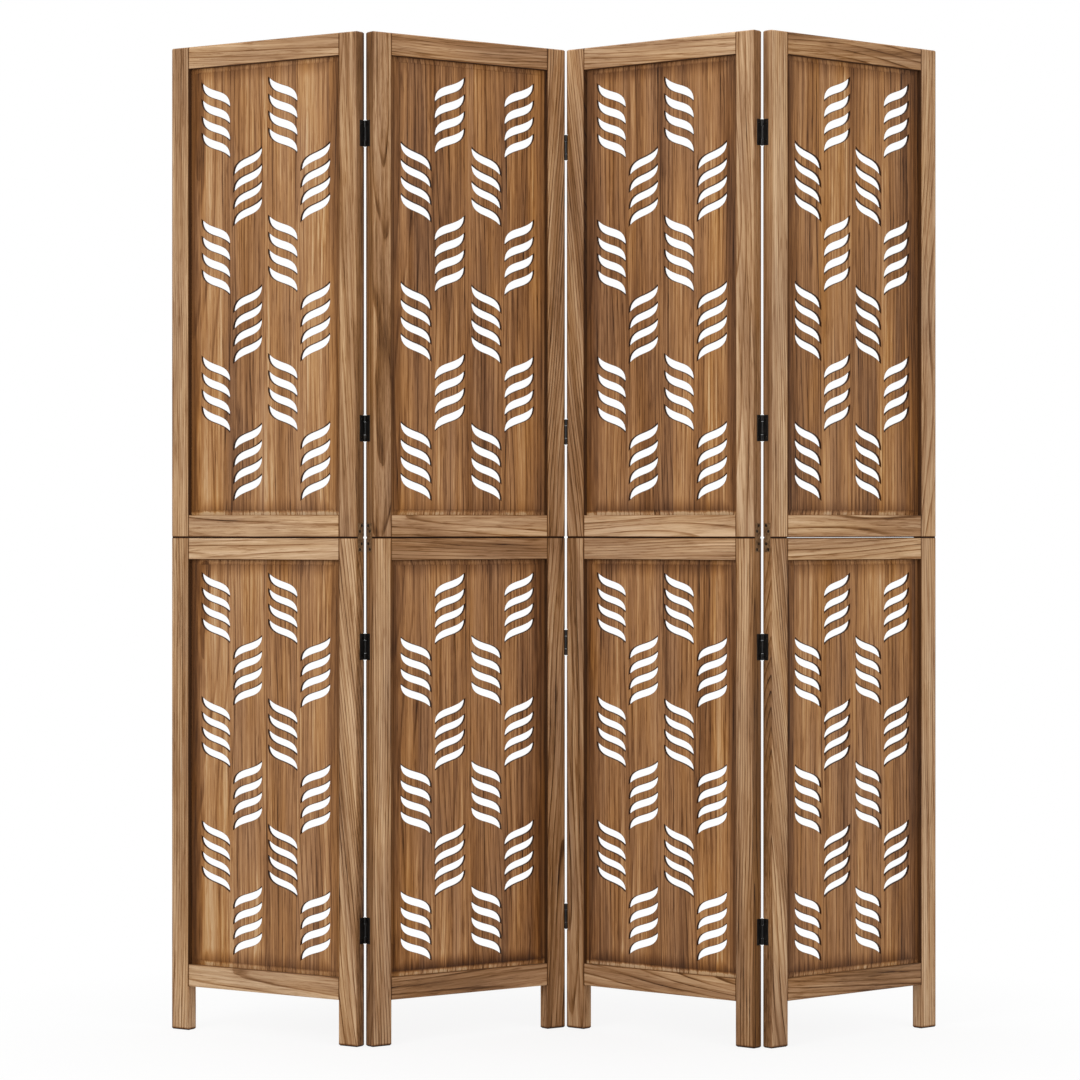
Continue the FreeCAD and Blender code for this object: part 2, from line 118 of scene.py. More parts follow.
# Screws: how far the metal under them stands proud of the panel's edge, how
# far they lie from the middle of their hinge or plate, and how deep they lie
# from the barrel's face or to either side of the plate's middle line.
METAL_PROUD = 0.45
HINGE_SCREW_RISE = 15.0
HINGE_SCREW_DEPTH = 6.5
PLATE_SCREW_RISES = (-20.0, -10.5, 10.5, 20.0)
PLATE_SCREW_STAGGER = 2.6
SCREW_RADIUS = 2.7
SCREW_DOME = 0.1
SCREW_CHAMFER = 0.25
RECESS_REACH = 1.35
RECESS_HALF_WIDTH = 0.36
RECESS_FLOOR = 0.02
CIRCLE_POINTS = 24

# Panel number: turn about the vertical in degrees, the joint that places it,
# where that joint's axis is on the panel, and whether its slots are mirrored.
PANELS = {
    1: (-33.5, "fold_1_2", (PANEL_WIDTH + AXIS_GAP, BACK_AXIS_DEPTH), False),
    2: (36.0, "fold_1_2", (-AXIS_GAP, BACK_AXIS_DEPTH), True),
    3: (-39.0, "fold_2_3", (-AXIS_GAP, FRONT_AXIS_DEPTH), False),
    4: (40.5, "fold_3_4", (-AXIS_GAP, BACK_AXIS_DEPTH), True),
}

# Raised board: depths are from the face of its field.
FIELD_STEP = 0.6
BEVEL_DROP = 1.2
BEVEL_WIDTH = 9.0
TONGUE_THICKNESS = 3.2
TONGUE_REACH = 6.5
FIELD_DEPTH = (FRAME_THICKNESS - TONGUE_THICKNESS) / 2 - BEVEL_DROP - FIELD_STEP
BOARD_THICKNESS = FIELD_STEP + BEVEL_DROP + TONGUE_THICKNESS

# Slots, as shares of the opening's height, and the columns in millimetres.
SLOT_HALF_WIDTH = 31.4
SLOT_HALF_HEIGHT_SHARE = 0.0311
SLOT_PITCH_SHARE = 0.0375
GROUP_PITCH_SHARE = 0.3056
COLUMNS = (-107.3, -37.9, 37.9, 107.3)
HIGH_GROUPS = (1.25, 0.25, -0.75)
LOW_GROUPS = (0.75, -0.25, -1.25)
SLOTS_IN_GROUP = (1.5, 0.5, -0.5, -1.5)
BURN_WIDTH = 0.6
FLANK_STEPS = 10

# One flank of a slot as two Bezier curves, in shares of its half width and
# half height: from its upper tip over the middle to its lower tip.
FLANK = (
    ((-1.0, 1.0), (-0.72, 0.66), (-0.55, 0.547), (-0.13, 0.352)),
    ((-0.13, 0.352), (0.35, 0.128), (1.045, 0.038), (1.0, -1.0)),
)

# Camera: fitted to the edges in the photograph. The place is in millimetres,
# the other values in the photograph's pixels, but for the sensor's width.
CAMERA_PLACE = (-25.3, -5979.8, 868.0)
FOCAL_PIXELS = 3503.5
IMAGE_PIXELS = 1080.0
HORIZON_PIXELS = 528.3
SENSOR_WIDTH = 36.0


def linear(hex_colour, alpha=1.0):
    """An sRGB hex colour as the linear values that shaders take."""
    digits = hex_colour.lstrip("#")
    values = []
    for start in (0, 2, 4):
        value = int(digits[start:start + 2], 16) / 255
        values.append(value / 12.92 if value <= 0.04045 else ((value + 0.055) / 1.055) ** 2.4)
    return (*values, alpha)


def add(tree, kind, inputs=None, stops=None, output=0, **settings):
    """Add a node with its settings, links and fixed values; returns one of its outputs."""
    node = tree.nodes.new(kind)
    for name, value in settings.items():
        setattr(node, name, value)
    for name, value in (inputs or {}).items():
        if isinstance(value, bpy.types.NodeSocket):
            tree.links.new(value, node.inputs[name])
        else:
            node.inputs[name].default_value = value
    if stops:
        elements = node.color_ramp.elements
        while len(elements) < len(stops):
            elements.new(1.0)
        for element, (position, colour) in zip(elements, stops):
            element.position = position
            element.color = linear(colour) if isinstance(colour, str) else (colour, colour, colour, 1)
    return node.outputs[output] if node.outputs else None


def new_object(name, data):
    """An object in the scene for a mesh, a lamp or a camera."""
    obj = bpy.data.objects.new(name, data)
    bpy.context.scene.collection.objects.link(obj)
    return obj


def panel_matrix(number):
    """Where a panel's own corner frame stands at rest."""
    turn, joint_name, (across, depth), _ = PANELS[number]
    joint = [entry for entry in frame["joints"] if entry["name"] == joint_name][0]
    axis = Matrix.Translation(Vector(joint["pos_m"]))
    rotation = Matrix.Rotation(math.radians(turn), 4, "Z")
    return axis @ rotation @ Matrix.Translation(Vector((-across * MM, -depth * MM, 0)))


# Layers of the grain: size across and along it in millimetres, noise detail
# and roughness. Fibres are wider than real ones, which would not show.
GRAIN_LAYERS = {
    "fibres": (3.2, 300.0, 5.0, 0.82),
    "bands": (20.0, 700.0, 4.0, 0.6),
    "dashes": (2.4, 55.0, 3.0, 0.6),
    "flame": (46.0, 330.0, 3.0, 0.55),
}

# The log's own bends, in cycles per millimetre and in millimetres: about 10 mm
# to either side, over 110 mm across the grain and 600 mm along it.
DRIFT = (0.009, 0.009, 0.0016)
BEND = (44.0, 44.0, 0.0)
# The growth lines fade and come back over a hand's length along the grain, in
# cycles per millimetre.
WANING = (0.06, 0.06, 0.006)
# The rings are drawn out along the grain. The wave texture has one crest in
# this length over its scale.
RING_STRETCH = (1.0, 1.0, 0.03)
WAVE_CREST = 0.314
# Means of the late wood's ramp, the pores and the noises, and the shares that
# pores, bands and torched patches take in the shade.
LATE_MEAN = 0.28
PORE_MEAN = 0.12
NOISE_MEAN = 0.5
PORE_SHARE = 0.2
BAND_SHARE = 1.0
FLAME_SHARE = -0.55


def grain_group():
    """Carbonised light wood: growth lines, fibres, pores and torched patches.

    The flame darkens the late wood and the pores most, so the figure stands
    out as thin brown lines and streaks along the grain. The place comes in
    millimetres from the middle of the piece, with Z along the grain; the heart
    input says how far that middle lies from the middle of the log.
    """
    tree = bpy.data.node_groups.new("carbonised_grain", "ShaderNodeTree")
    for name in ("Place", "Heart", "Tilt"):
        tree.interface.new_socket(name, in_out="INPUT", socket_type="NodeSocketVector")
    for name in ("Tone", "Figure", "Streaks", "Ring"):
        tree.interface.new_socket(name, in_out="INPUT", socket_type="NodeSocketFloat")
    for name in ("Shade", "Relief", "Heat"):
        tree.interface.new_socket(name, in_out="OUTPUT", socket_type="NodeSocketFloat")
    entry = tree.nodes.new("NodeGroupInput")
    place, heart, tilt, tone, figure, streaks, ring = entry.outputs[:7]
    log = add(tree, "ShaderNodeMapping", {"Vector": place, "Location": heart, "Rotation": tilt})

    drift = add(tree, "ShaderNodeVectorMath", {0: log, 1: DRIFT}, operation="MULTIPLY")
    wander = add(tree, "ShaderNodeTexNoise", {"Vector": drift, "Scale": 1.0, "Detail": 1.0}, output="Color")
    bend = add(tree, "ShaderNodeVectorMath", {0: wander, 1: (NOISE_MEAN,) * 3}, operation="SUBTRACT")
    bend = add(tree, "ShaderNodeVectorMath", {0: bend, 1: BEND}, operation="MULTIPLY")
    bent = add(tree, "ShaderNodeVectorMath", {0: log, 1: bend}, operation="ADD")
    bent = add(tree, "ShaderNodeVectorMath", {0: bent, 1: RING_STRETCH}, operation="MULTIPLY")
    # Growth rings some millimetres apart, as fast-grown wood has, each ending
    # in a thin dark line.
    spacing = add(tree, "ShaderNodeMath", {0: WAVE_CREST, 1: ring}, operation="DIVIDE")
    rings = add(tree, "ShaderNodeTexWave", {
        "Vector": bent, "Scale": spacing, "Distortion": 1.6, "Detail": 3.0,
        "Detail Scale": 0.8, "Detail Roughness": 0.55,
    }, output="Fac", wave_type="RINGS", rings_direction="Z", wave_profile="SAW")
    late = add(tree, "ShaderNodeValToRGB", {"Fac": rings}, stops=(
        (0.0, 0.3), (0.04, 0.0), (0.55, 0.06), (0.8, 0.3), (0.91, 1.0), (1.0, 0.8)))
    waning = add(tree, "ShaderNodeVectorMath", {0: log, 1: WANING}, operation="MULTIPLY")
    waning = add(tree, "ShaderNodeTexNoise", {"Vector": waning, "Scale": 1.0, "Detail": 1.0})
    waning = add(tree, "ShaderNodeMapRange", {
        "Value": waning, "From Min": 0.35, "From Max": 0.62, "To Min": 0.35, "To Max": 1.25})
    figure = add(tree, "ShaderNodeMath", {0: figure, 1: waning}, operation="MULTIPLY")

    layers = {}
    for name, (across, along, detail, roughness) in GRAIN_LAYERS.items():
        drawn = add(tree, "ShaderNodeVectorMath", {0: log, 1: (1 / across, 1 / across, 1 / along)},
                    operation="MULTIPLY")
        layers[name] = add(tree, "ShaderNodeTexNoise", {
            "Vector": drawn, "Scale": 1.0, "Detail": detail, "Roughness": roughness})
    pores = add(tree, "ShaderNodeMapRange", {
        "Value": layers["dashes"], "From Min": 0.53, "From Max": 0.67}, interpolation_type="SMOOTHSTEP")

    # Each share is taken from its mean, so that the tone stays the mean shade.
    shade = tone
    for share, mean, strength in (
            (late, LATE_MEAN, figure), (pores, PORE_MEAN, PORE_SHARE),
            (layers["fibres"], NOISE_MEAN, streaks), (layers["bands"], NOISE_MEAN, BAND_SHARE),
            (layers["flame"], NOISE_MEAN, FLAME_SHARE)):
        part = add(tree, "ShaderNodeMath", {0: mean, 1: share}, operation="SUBTRACT")
        part = add(tree, "ShaderNodeMath", {0: part, 1: strength}, operation="MULTIPLY")
        shade = add(tree, "ShaderNodeMath", {0: shade, 1: part}, operation="ADD")
    relief = add(tree, "ShaderNodeMath", {0: shade, 1: pores}, operation="SUBTRACT")

    add(tree, "NodeGroupOutput", {"Shade": shade, "Relief": relief, "Heat": layers["flame"]})
    return tree


GRAIN = grain_group()

# Torched wood from its darkest lines to the pale early wood.
FRAME_STOPS = ((0.0, "#1E0F07"), (0.2, "#54351C"), (0.4, "#7A5636"), (0.55, "#936D4C"),
               (0.7, "#AB8765"), (0.85, "#BF9D7A"), (1.0, "#D2B392"))
BOARD_STOPS = ((0.0, "#1E0F07"), (0.2, "#56351C"), (0.4, "#7A5232"), (0.55, "#936843"),
               (0.7, "#A87B52"), (0.85, "#BB9268"), (1.0, "#CDAD88"))


def add_grain(tree, place, tone, figure, streaks, ring, heart, tilt):
    """The grain group, fed with a place and the cut of the piece."""
    add(tree, "ShaderNodeGroup", {
        "Place": place, "Heart": heart, "Tilt": [math.radians(angle) for angle in tilt],
        "Tone": tone, "Figure": figure, "Streaks": streaks, "Ring": ring}, node_tree=GRAIN)
    return tree.nodes[-1].outputs


def finish_wood(tree, grain, stops, char_and_painted_shade):
    """Colour, thin satin lacquer and relief from the grain and the share of burn and painted shade, less
    the painted light.
    """
    shade, relief, heat = grain
    # The burnt share also holds painted shade, and painted light where it is below nought.
    unburnt_and_unshaded = add(tree, "ShaderNodeMath", {0: 1.0, 1: char_and_painted_shade}, operation="SUBTRACT")
    shade = add(tree, "ShaderNodeMath", {0: shade, 1: unburnt_and_unshaded}, operation="MULTIPLY")
    colour = add(tree, "ShaderNodeValToRGB", {"Fac": shade}, stops=stops)
    # Where the flame stayed longer the brown is redder.
    redness = add(tree, "ShaderNodeMapRange", {
        "Value": heat, "From Min": 0.3, "From Max": 0.7, "To Min": 0.97, "To Max": 1.11})
    colour = add(tree, "ShaderNodeHueSaturation", {"Saturation": redness, "Color": colour})
    rough = add(tree, "ShaderNodeMapRange", {"Value": shade, "To Min": 0.74, "To Max": 0.56})
    bump = add(tree, "ShaderNodeBump", {"Height": relief, "Strength": 0.35, "Distance": 0.3 * MM})
    lacquer = add(tree, "ShaderNodeBsdfPrincipled", {
        "Base Color": colour, "Roughness": rough, "Normal": bump, "IOR": 1.42, "Specular IOR Level": 0.25})
    add(tree, "ShaderNodeOutputMaterial", {"Surface": lacquer})


def new_tree(name):
    """A material and its empty node tree."""
    material = bpy.data.materials.new(name)
    material.use_nodes = True
    material.node_tree.nodes.clear()
    return material, material.node_tree


# Burnt marks and painted shade on the frames: how far each reaches in
# millimetres and how dark it is, at the feet, at the joint of the two frames,
# where it is partly painted shade in the groove, at the ends of the rails,
# beside the board on bottom rails, top rails and stiles, where it is partly
# painted shade by the recessed board, at the edge in the gap between the panels
# and on that edge from the back, which is painted shade deep in the gap.
FRAME_MARKS = {
    "feet": (5.5, 1.1),
    "joint": (2.6, 1.2),
    "shoulder": (1.8, 0.65),
    "under_board": (1.4, 0.45),
    "over_board": (1.4, 0.8),
    "beside_board": (3.2, 0.9),
    "gap_edge": (2.2, 0.3),
    "painted_gap_shade": (12.0, 0.45),
}
# A distance at which no mark shows.
OUT_OF_REACH = 40.0
STILE_STREAKS = 1.15
RAIL_STREAKS = 0.9
# Millimetres of log between one piece's place and the next.
LOG_STEP = 137.0


def frame_wood(name, number, node, look):
    """Planed and torched frame wood with eased edges and a thin satin lacquer.

    It gives the eye brown growth lines and fine streaks on tan, black-brown at
    the feet, at the joint of the two frames, at the shoulders of the rails and
    on the inner edges round the board. At the joint and round the board the dark
    is partly painted shade, and the edge in the gap is painted with shade towards
    the back.
    """
    tone, figure, cut, log_place = look
    heart_across, heart_depth, tilt, ring = CUTS[cut]
    material, tree = new_tree(name)
    low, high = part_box(node)
    middle = (low + high) / 2
    world_place = add(tree, "ShaderNodeTexCoord", output="Object")
    local = add(tree, "ShaderNodeMapping", {
        "Vector": world_place, "Location": middle,
        "Rotation": (0, 0, math.radians(PANELS[number][0])), "Scale": (MM, MM, MM)},
        vector_type="TEXTURE")
    is_rail = node.endswith("rail")
    along = local
    if is_rail:
        along = add(tree, "ShaderNodeVectorRotate", {
            "Vector": local, "Axis": (0, 1, 0), "Angle": math.radians(90)}, rotation_type="AXIS_ANGLE")
    heart = (heart_across, heart_depth, log_place * LOG_STEP)
    streaks = RAIL_STREAKS if is_rail else STILE_STREAKS
    grain = add_grain(tree, along, tone, figure, streaks, ring, heart, tilt)

    add(tree, "ShaderNodeSeparateXYZ", {"Vector": local})
    across, depth, up = tree.nodes[-1].outputs[:3]
    height = add(tree, "ShaderNodeMath", {0: up, 1: middle.z / MM}, operation="ADD")
    from_seam = add(tree, "ShaderNodeMath", {0: height, 1: SEAM_HEIGHT}, operation="SUBTRACT")
    from_seam = add(tree, "ShaderNodeMath", {0: from_seam}, operation="ABSOLUTE")
    # At the joint of the two frames the dark line is partly burn and partly painted shade in the groove
    # between them.
    marks = [(height, "feet"), (from_seam, "joint")]
    if is_rail:
        from_shoulder = add(tree, "ShaderNodeMath", {0: across}, operation="ABSOLUTE")
        from_shoulder = add(tree, "ShaderNodeMath", {0: OPENING_WIDTH / 2, 1: from_shoulder},
                            operation="SUBTRACT")
        # Along the board the rail is partly burnt and partly painted with shade where it meets the recessed
        # board, darker on the top rail.
        inwards = 1 if node.endswith("bottom_rail") else -1
        from_board = add(tree, "ShaderNodeMath", {0: up, 1: -inwards, 2: RAIL_HEIGHT / 2},
                         operation="MULTIPLY_ADD")
        marks += [(from_shoulder, "shoulder"), (from_board, "under_board" if inwards > 0 else "over_board")]
    else:
        # Along the board the stile is partly burnt and partly painted with the shade where it meets the
        # recessed board.
        inwards = 1 if "left" in node else -1
        from_board = add(tree, "ShaderNodeMath", {0: across, 1: -inwards, 2: STILE_WIDTH / 2},
                         operation="MULTIPLY_ADD")
        # Not on the legs, which have no board beside them.
        on_leg = add(tree, "ShaderNodeMapRange", {
            "Value": height, "From Min": LEG_HEIGHT - 3, "From Max": LEG_HEIGHT,
            "To Min": OUT_OF_REACH, "To Max": 0.0})
        from_board = add(tree, "ShaderNodeMath", {0: from_board, 1: on_leg}, operation="ADD")
        from_gap = add(tree, "ShaderNodeMath", {0: across, 1: inwards, 2: STILE_WIDTH / 2},
                       operation="MULTIPLY_ADD")
        # The edge in the gap is painted darker towards the back, as painted shade deep in the gap.
        on_edge = add(tree, "ShaderNodeMapRange", {
            "Value": from_gap, "From Min": 0.4, "From Max": 1.6, "To Min": 0.0, "To Max": OUT_OF_REACH})
        from_back = add(tree, "ShaderNodeMath", {0: FRAME_THICKNESS / 2, 1: depth}, operation="SUBTRACT")
        from_back = add(tree, "ShaderNodeMath", {0: from_back, 1: on_edge}, operation="ADD")
        marks += [(from_board, "beside_board"), (from_gap, "gap_edge"), (from_back, "painted_gap_shade")]
    char_and_painted_shade = None
    for distance, kind in marks:
        reach, darkness = FRAME_MARKS[kind]
        mark = add(tree, "ShaderNodeMapRange", {
            "Value": distance, "From Min": 0.2, "From Max": reach, "To Min": darkness, "To Max": 0.0},
            interpolation_type="SMOOTHSTEP")
        char_and_painted_shade = add(tree, "ShaderNodeMath", {0: char_and_painted_shade, 1: mark}, operation="MAXIMUM") if char_and_painted_shade else mark
    finish_wood(tree, grain, FRAME_STOPS, char_and_painted_shade)
    return material


# Boards: width of the staves, how much their tones differ and the share of the
# glue line between them, then the strength of growth lines and streaks and the
# spacing of the rings.
STAVE_WIDTH = 70.0
STAVE_CONTRAST = 0.09
GLUE_LINE_SHARE = 0.014
BOARD_FIGURE = 0.28
BOARD_STREAKS = 1.3
BOARD_RING = 9.0
# How far a board lies from the heart of its log, across and in depth, how it
# leans from the log, in degrees, how far the boards' cuts lie apart across and
# along the log, and the most that two staves of a board are shifted along it.
BOARD_HEART = (90.0, 70.0)
BOARD_LEAN = (0.4, 0.3, 0)
BOARD_STEPS = (9.0, 31.0)
STAVE_SHIFT = 900.0
# How far the flame licks to and fro and in how many cycles per millimetre, and
# how dark it left the slots' rims and the thin lines at the glue and at the
# field's edge.
LICKS = 15.0
LICK_CYCLES = (0.22, 0.22, 0.014)
RIM_DARKNESS = 0.8
THIN_LINE_DARKNESS = 0.3

# Flame marks and the painted shadow of the frame round a board: how far they
# reach from the frame in millimetres and the share of them on the bevel, then
# how wide and dark the line of painted shade is where the frame begins.
BORDER_MARKS = {
    "left": (36.0, 0.8, 1.6, 0.5),
    "right": (38.0, 0.65, 1.2, 0.3),
    "head": (34.0, 0.35, 1.4, 0.4),
    "foot": (34.0, 0.0, 1.0, 0.1),
}


def board_wood(name, opening_height, look, seed):
    """Glued staves of light wood, torched round the field and at the slots.

    It gives the eye upright staves of slightly different browns, dark streaks
    along them, a smoky border with the painted shadow of the frame, a painted
    highlight on the bevel at the foot and slots with black-brown rims.
    """
    tone, foot_highlight, *burn_and_shade_darkness = look
    material, tree = new_tree(name)
    metres = add(tree, "ShaderNodeTexCoord", output="Object")
    place = add(tree, "ShaderNodeMapping", {"Vector": metres, "Scale": (MM, MM, MM)}, vector_type="TEXTURE")
    add(tree, "ShaderNodeSeparateXYZ", {"Vector": place})
    across, _, up = tree.nodes[-1].outputs[:3]

    # The staves, each from another plank.
    stave_place = add(tree, "ShaderNodeMath", {0: across, 1: 1 / STAVE_WIDTH, 2: seed},
                      operation="MULTIPLY_ADD")
    staves = {"W": stave_place, "Scale": 1.0, "Randomness": 0.6}
    stave = add(tree, "ShaderNodeTexVoronoi", staves, output="Color", voronoi_dimensions="1D")
    add(tree, "ShaderNodeSeparateColor", {"Color": stave})
    stave_tone, stave_shift = tree.nodes[-1].outputs[:2]
    glue_line = add(tree, "ShaderNodeTexVoronoi", staves, output="Distance",
                    voronoi_dimensions="1D", feature="DISTANCE_TO_EDGE")

    shift = add(tree, "ShaderNodeMath", {0: stave_shift, 1: STAVE_SHIFT}, operation="MULTIPLY")
    shift = add(tree, "ShaderNodeCombineXYZ", {"Z": shift})
    plank = add(tree, "ShaderNodeVectorMath", {0: place, 1: shift}, operation="ADD")
    lighter = add(tree, "ShaderNodeMapRange", {
        "Value": stave_tone, "To Min": tone - STAVE_CONTRAST, "To Max": tone + STAVE_CONTRAST})
    heart = (BOARD_HEART[0] + seed * BOARD_STEPS[0], BOARD_HEART[1], seed * BOARD_STEPS[1])
    grain = add_grain(tree, plank, lighter, BOARD_FIGURE, BOARD_STREAKS, BOARD_RING, heart, BOARD_LEAN)

    # Flame marks in from each side of the frame, with a ragged edge, and the painted shadow that the frame
    # casts on the board near it.
    licks = add(tree, "ShaderNodeVectorMath", {0: place, 1: LICK_CYCLES}, operation="MULTIPLY")
    licks = add(tree, "ShaderNodeTexNoise", {"Vector": licks, "Scale": 1.0, "Detail": 3.0})
    ragged = add(tree, "ShaderNodeMapRange", {"Value": licks, "To Min": -LICKS, "To Max": LICKS})
    char_and_painted_shade = 0.0
    nearest = opening_height
    for (side, border), darkness in zip(BORDER_MARKS.items(), burn_and_shade_darkness):
        reach, bevel_share, groove_reach, groove_darkness = border
        along = across if side in ("left", "right") else up
        half = (OPENING_WIDTH if side in ("left", "right") else opening_height) / 2
        sign = 1 if side in ("left", "foot") else -1
        inside = add(tree, "ShaderNodeMath", {0: along, 1: sign, 2: half}, operation="MULTIPLY_ADD")
        nearest = add(tree, "ShaderNodeMath", {0: nearest, 1: inside}, operation="MINIMUM")
        licked = add(tree, "ShaderNodeMath", {0: inside, 1: ragged}, operation="ADD")
        mark = add(tree, "ShaderNodeMapRange", {
            "Value": licked, "From Min": 1.0, "From Max": reach, "To Min": darkness, "To Max": 0.0},
            interpolation_type="SMOOTHSTEP")
        on_field = add(tree, "ShaderNodeMapRange", {
            "Value": inside, "From Min": BEVEL_WIDTH - 3.6, "From Max": BEVEL_WIDTH,
            "To Min": bevel_share, "To Max": 1.0})
        mark = add(tree, "ShaderNodeMath", {0: mark, 1: on_field}, operation="MULTIPLY")
        # The line where the frame begins is painted shade in the groove.
        groove = add(tree, "ShaderNodeMapRange", {
            "Value": inside, "From Min": 0.8, "From Max": groove_reach,
            "To Min": groove_darkness, "To Max": 0.0})
        for share in (mark, groove):
            char_and_painted_shade = add(tree, "ShaderNodeMath", {0: char_and_painted_shade, 1: share}, operation="MAXIMUM")
    # A thin burnt line along the step at the field's edge.
    step = add(tree, "ShaderNodeMath", {0: nearest, 1: BEVEL_WIDTH}, operation="SUBTRACT")
    step = add(tree, "ShaderNodeMath", {0: step}, operation="ABSOLUTE")
    step = add(tree, "ShaderNodeMapRange", {
        "Value": step, "From Min": 0.2, "From Max": 1.2, "To Min": THIN_LINE_DARKNESS, "To Max": 0.0})
    glue = add(tree, "ShaderNodeMapRange", {
        "Value": glue_line, "From Min": 0.0, "From Max": GLUE_LINE_SHARE,
        "To Min": THIN_LINE_DARKNESS, "To Max": 0.0})
    burn = add(tree, "ShaderNodeAttribute", output="Fac", attribute_name="burn")
    rim = add(tree, "ShaderNodeMath", {0: burn, 1: RIM_DARKNESS}, operation="MULTIPLY")
    for mark in (step, glue, rim):
        char_and_painted_shade = add(tree, "ShaderNodeMath", {0: char_and_painted_shade, 1: mark}, operation="MAXIMUM")
    # The bevel at the foot gets a painted highlight.
    above_foot = add(tree, "ShaderNodeMath", {0: up, 1: opening_height / 2}, operation="ADD")
    painted_foot_highlight = add(tree, "ShaderNodeMapRange", {
        "Value": above_foot, "From Min": BEVEL_WIDTH - 6.0, "From Max": BEVEL_WIDTH - 2.4,
        "To Min": foot_highlight, "To Max": 0.0})
    char_and_painted_shade = add(tree, "ShaderNodeMath", {0: char_and_painted_shade, 1: painted_foot_highlight}, operation="SUBTRACT")
    finish_wood(tree, grain, BOARD_STOPS, char_and_painted_shade)
    return material


def black_enamel():
    """Baked black enamel on pressed steel: near black, satin, faintly uneven."""
    material, tree = new_tree("black_enamel")
    place = add(tree, "ShaderNodeTexCoord", output="Object")
    # Orange peel of the sprayed coat, 0.8 mm across, and worn clouds of 9 mm.
    peel = add(tree, "ShaderNodeTexNoise", {"Vector": place, "Scale": 1 / (0.8 * MM), "Detail": 2.0})
    wear = add(tree, "ShaderNodeTexNoise", {"Vector": place, "Scale": 1 / (9 * MM), "Detail": 4.0})
    colour = add(tree, "ShaderNodeValToRGB", {"Fac": wear}, stops=(
        (0.35, "#0B0A09"), (0.62, "#161311"), (0.75, "#28221D")))
    rough = add(tree, "ShaderNodeMapRange", {"Value": wear, "To Min": 0.28, "To Max": 0.5})
    bump = add(tree, "ShaderNodeBump", {"Height": peel, "Strength": 0.2, "Distance": 0.05 * MM})
    shader = add(tree, "ShaderNodeBsdfPrincipled", {
        "Base Color": colour, "Roughness": rough, "Normal": bump, "IOR": 1.5, "Specular IOR Level": 0.3})
    add(tree, "ShaderNodeOutputMaterial", {"Surface": shader})
    return material


def antique_brass():
    """Antiqued brass plate: wood-brown patina over dull yellow metal."""
    material, tree = new_tree("antique_brass")
    place = add(tree, "ShaderNodeTexCoord", output="Object")
    # Patina clouds 5 mm across and rolling lines 0.6 mm apart.
    patina = add(tree, "ShaderNodeTexNoise", {"Vector": place, "Scale": 1 / (5 * MM), "Detail": 4.0})
    rolled = add(tree, "ShaderNodeVectorMath", {0: place, 1: (1.0, 1.0, 0.05)}, operation="MULTIPLY")
    rolled = add(tree, "ShaderNodeTexNoise", {"Vector": rolled, "Scale": 1 / (0.6 * MM), "Detail": 1.0})
    colour = add(tree, "ShaderNodeValToRGB", {"Fac": patina}, stops=(
        (0.3, "#5C4128"), (0.55, "#856545"), (0.8, "#A38560")))
    rough = add(tree, "ShaderNodeMapRange", {"Value": patina, "To Min": 0.7, "To Max": 0.5})
    bump = add(tree, "ShaderNodeBump", {"Height": rolled, "Strength": 0.15, "Distance": 0.03 * MM})
    shader = add(tree, "ShaderNodeBsdfPrincipled", {
        "Base Color": colour, "Roughness": rough, "Normal": bump, "Metallic": 0.6})
    add(tree, "ShaderNodeOutputMaterial", {"Surface": shader})
    return material


def blackened_steel():
    """Oiled black steel of the screws: near black with a soft metal glint and small bright spots in its
    colour that are painted glints.
    """
    material, tree = new_tree("blackened_steel")
    place = add(tree, "ShaderNodeTexCoord", output="Object")
    # Oil clouds 1.5 mm across, whose brightest spots are painted glints, and turning marks 0.2 mm apart.
    oil_and_glints = add(tree, "ShaderNodeTexNoise", {"Vector": place, "Scale": 1 / (1.5 * MM), "Detail": 3.0})
    turned = add(tree, "ShaderNodeTexNoise", {"Vector": place, "Scale": 1 / (0.2 * MM), "Detail": 1.0})
    # The brightest stop paints glints into the steel's colour.
    colour = add(tree, "ShaderNodeValToRGB", {"Fac": oil_and_glints}, stops=(
        (0.35, "#171412"), (0.58, "#3E3730"), (0.7, "#8E857A")))
    rough = add(tree, "ShaderNodeMapRange", {"Value": oil_and_glints, "To Min": 0.3, "To Max": 0.5})
    bump = add(tree, "ShaderNodeBump", {"Height": turned, "Strength": 0.1, "Distance": 0.02 * MM})
    shader = add(tree, "ShaderNodeBsdfPrincipled", {
        "Base Color": colour, "Roughness": rough, "Normal": bump, "Metallic": 1.0})
    add(tree, "ShaderNodeOutputMaterial", {"Surface": shader})
    return material


def dress(node, material):
    """Give a frame node a material on every slot."""
    obj = frame["nodes"][node]
    for slot in obj.material_slots:
        slot.material = material
    return obj


def soften_edges(obj, width):
    """Weld the piece's facets and round its edges."""
    weld = obj.modifiers.new("Weld", "WELD")
    weld.merge_threshold = WELD_DISTANCE * MM
    bevel = obj.modifiers.new("Roundness", "BEVEL")
    bevel.width = width * MM
    bevel.segments = ROUND_SEGMENTS
    bevel.limit_method = "ANGLE"
    bevel.angle_limit = math.radians(ROUNDED_ANGLE)
    bevel.use_clamp_overlap = False
    bevel.harden_normals = True


# How a piece was sawn from its log: how far its middle lies from the heart of
# the log, across and in depth, how it leans from the log, in degrees, and the
# spacing of the rings. Sawn flat it shows arches, on the quarter straight
# lines, and slanted ones where the grain runs out at an edge.
CUTS = {
    "flat": (4.0, 54.0, (1.6, 0.5, 0), 7.0),
    "flat_turned": (-8.0, 47.0, (-1.3, -0.8, 0), 7.5),
    "slash": (30.0, 62.0, (0.8, 2.6, 0), 6.0),
    "slash_turned": (-34.0, 58.0, (-0.7, -3.0, 0), 6.5),
    "quarter": (120.0, 46.0, (0.2, 0.8, 0), 5.0),
    "quarter_turned": (-135.0, 60.0, (0.3, -0.6, 0), 5.5),
    "slanted": (90.0, 60.0, (0.4, 8.0, 0), 5.0),
    "slanted_turned": (-80.0, 64.0, (0.4, -5.0, 0), 5.0),
}

